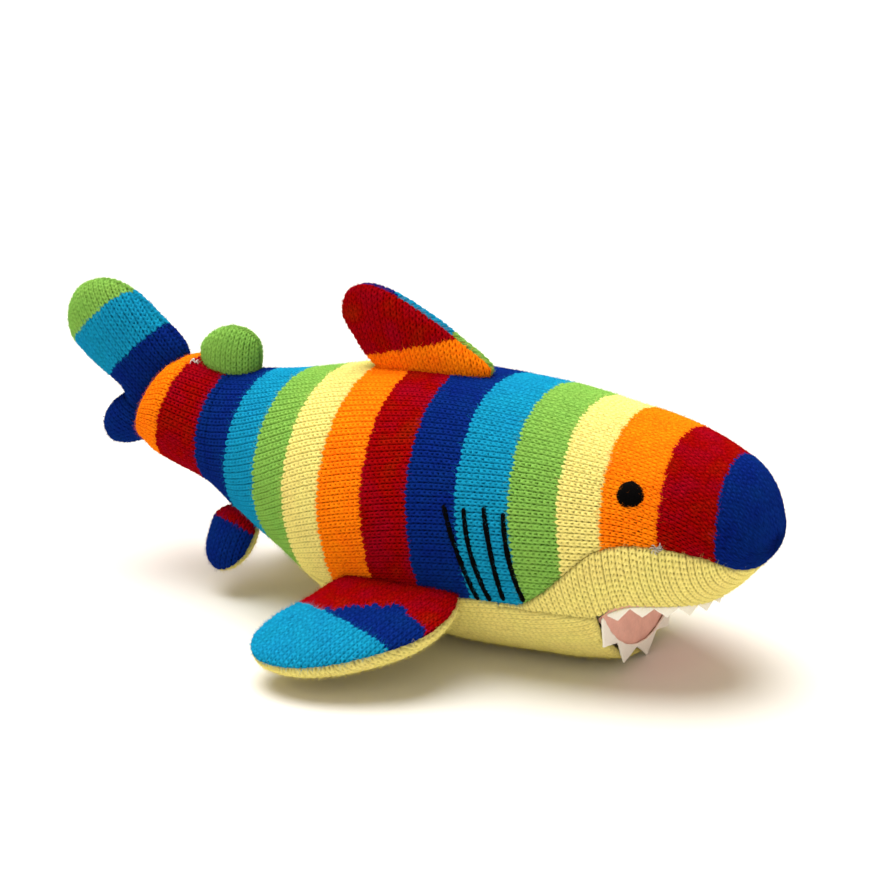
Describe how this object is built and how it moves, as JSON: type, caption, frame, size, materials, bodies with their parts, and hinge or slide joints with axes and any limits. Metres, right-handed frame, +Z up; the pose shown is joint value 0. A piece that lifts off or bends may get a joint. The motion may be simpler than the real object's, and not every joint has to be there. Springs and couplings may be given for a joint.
{
  "type": "plush shark",
  "caption": "Stuffed knitted shark lying on a flat belly, with soft springy fins and tail, and a lower jaw that can be pressed towards the open mouth.",
  "frame": {"origin": "centre of the bounding box at its base, on the surface the belly rests on", "axes": "+X towards the nose, +Y to the shark's left, +Z up"},
  "size_m": [0.3494, 0.2182, 0.1422],
  "materials": {
    "striped_knit": "soft striped knit",
    "fin_knit": "soft striped knit",
    "dorsal_knit": "soft striped knit",
    "green_knit": "soft knit",
    "cream_knit": "soft knit",
    "wadding": "fibre filling",
    "pink_felt": "matte felt",
    "white_felt": "matte felt",
    "black_thread": "embroidery thread",
    "grey_thread": "thread",
    "white_thread": "thread"
  },
  "bodies": {
    "trunk": {"back_panel": "striped_knit", "belly_panel": "cream_knit", "muzzle_panel": "cream_knit", "body_stuffing": "wadding", "upper_mouth_lining": "pink_felt", "upper_teeth": "white_felt", "right_eye": "black_thread", "left_eye": "black_thread", "right_gill_stitch_1": "black_thread", "right_gill_stitch_2": "black_thread", "right_gill_stitch_3": "black_thread", "right_gill_stitch_4": "black_thread", "left_gill_stitch_1": "black_thread", "left_gill_stitch_2": "black_thread", "left_gill_stitch_3": "black_thread", "left_gill_stitch_4": "black_thread", "cheek_thread_end": "grey_thread", "fin_thread_end": "white_thread"},
    "jaw": {"jaw_panel": "cream_knit", "jaw_stuffing": "wadding", "lower_mouth_lining": "pink_felt", "lower_teeth": "white_felt"},
    "dorsal_fin": {"dorsal_fin_left_panel": "dorsal_knit", "dorsal_fin_right_panel": "dorsal_knit", "dorsal_fin_stuffing": "wadding"},
    "second_dorsal_fin": {"second_dorsal_fin_left_panel": "green_knit", "second_dorsal_fin_right_panel": "green_knit", "second_dorsal_fin_stuffing": "wadding"},
    "tail_fin": {"tail_fin_left_panel": "fin_knit", "tail_fin_right_panel": "fin_knit", "tail_fin_stuffing": "wadding"},
    "right_pectoral_fin": {"right_pectoral_fin_upper_panel": "fin_knit", "right_pectoral_fin_lower_panel": "cream_knit", "right_pectoral_fin_stuffing": "wadding"},
    "right_pelvic_fin": {"right_pelvic_fin_upper_panel": "fin_knit", "right_pelvic_fin_lower_panel": "cream_knit", "right_pelvic_fin_stuffing": "wadding"},
    "left_pectoral_fin": {"left_pectoral_fin_upper_panel": "fin_knit", "left_pectoral_fin_lower_panel": "cream_knit", "left_pectoral_fin_stuffing": "wadding"},
    "left_pelvic_fin": {"left_pelvic_fin_upper_panel": "fin_knit", "left_pelvic_fin_lower_panel": "cream_knit", "left_pelvic_fin_stuffing": "wadding"}
  },
  "joints": [
    {"name": "jaw_hinge", "type": "hinge", "parent": "trunk", "child": "jaw", "pos_m": [0.11797, 0, 0.032], "axis": [0, -1, 0], "range_deg": [0, 35], "stiffness_Nm_per_rad": 0.03},
    {"name": "dorsal_fin_flop", "type": "hinge", "parent": "trunk", "child": "dorsal_fin", "pos_m": [0.01947, 0, 0.1125], "axis": [0.9992, 0, 0.04], "range_deg": [-35, 35], "stiffness_Nm_per_rad": 0.03},
    {"name": "second_dorsal_fin_flop", "type": "hinge", "parent": "trunk", "child": "second_dorsal_fin", "pos_m": [-0.08503, 0, 0.0982], "axis": [0.9982, 0, -0.0599], "range_deg": [-25, 25], "stiffness_Nm_per_rad": 0.02},
    {"name": "tail_fin_swing", "type": "hinge", "parent": "trunk", "child": "tail_fin", "pos_m": [-0.12503, 0, 0.078], "axis": [0.4392, 0, 0.8984], "range_deg": [-30, 30], "stiffness_Nm_per_rad": 0.05},
    {"name": "right_pectoral_fin_lift", "type": "hinge", "parent": "trunk", "child": "right_pectoral_fin", "pos_m": [0.03347, -0.057, 0.0266], "axis": [-0.9949, 0.0562, -0.0841], "range_deg": [-15, 50], "stiffness_Nm_per_rad": 0.05},
    {"name": "right_pelvic_fin_lift", "type": "hinge", "parent": "trunk", "child": "right_pelvic_fin", "pos_m": [-0.06853, -0.022, 0.0335], "axis": [-0.9863, 0.1295, -0.1024], "range_deg": [-20, 35], "stiffness_Nm_per_rad": 0.02},
    {"name": "left_pectoral_fin_lift", "type": "hinge", "parent": "trunk", "child": "left_pectoral_fin", "pos_m": [0.03347, 0.057, 0.0266], "axis": [0.9949, 0.0562, 0.0841], "range_deg": [-15, 50], "stiffness_Nm_per_rad": 0.05},
    {"name": "left_pelvic_fin_lift", "type": "hinge", "parent": "trunk", "child": "left_pelvic_fin", "pos_m": [-0.06853, 0.022, 0.0335], "axis": [0.9863, 0.1295, 0.1024], "range_deg": [-20, 35], "stiffness_Nm_per_rad": 0.02}
  ]
}
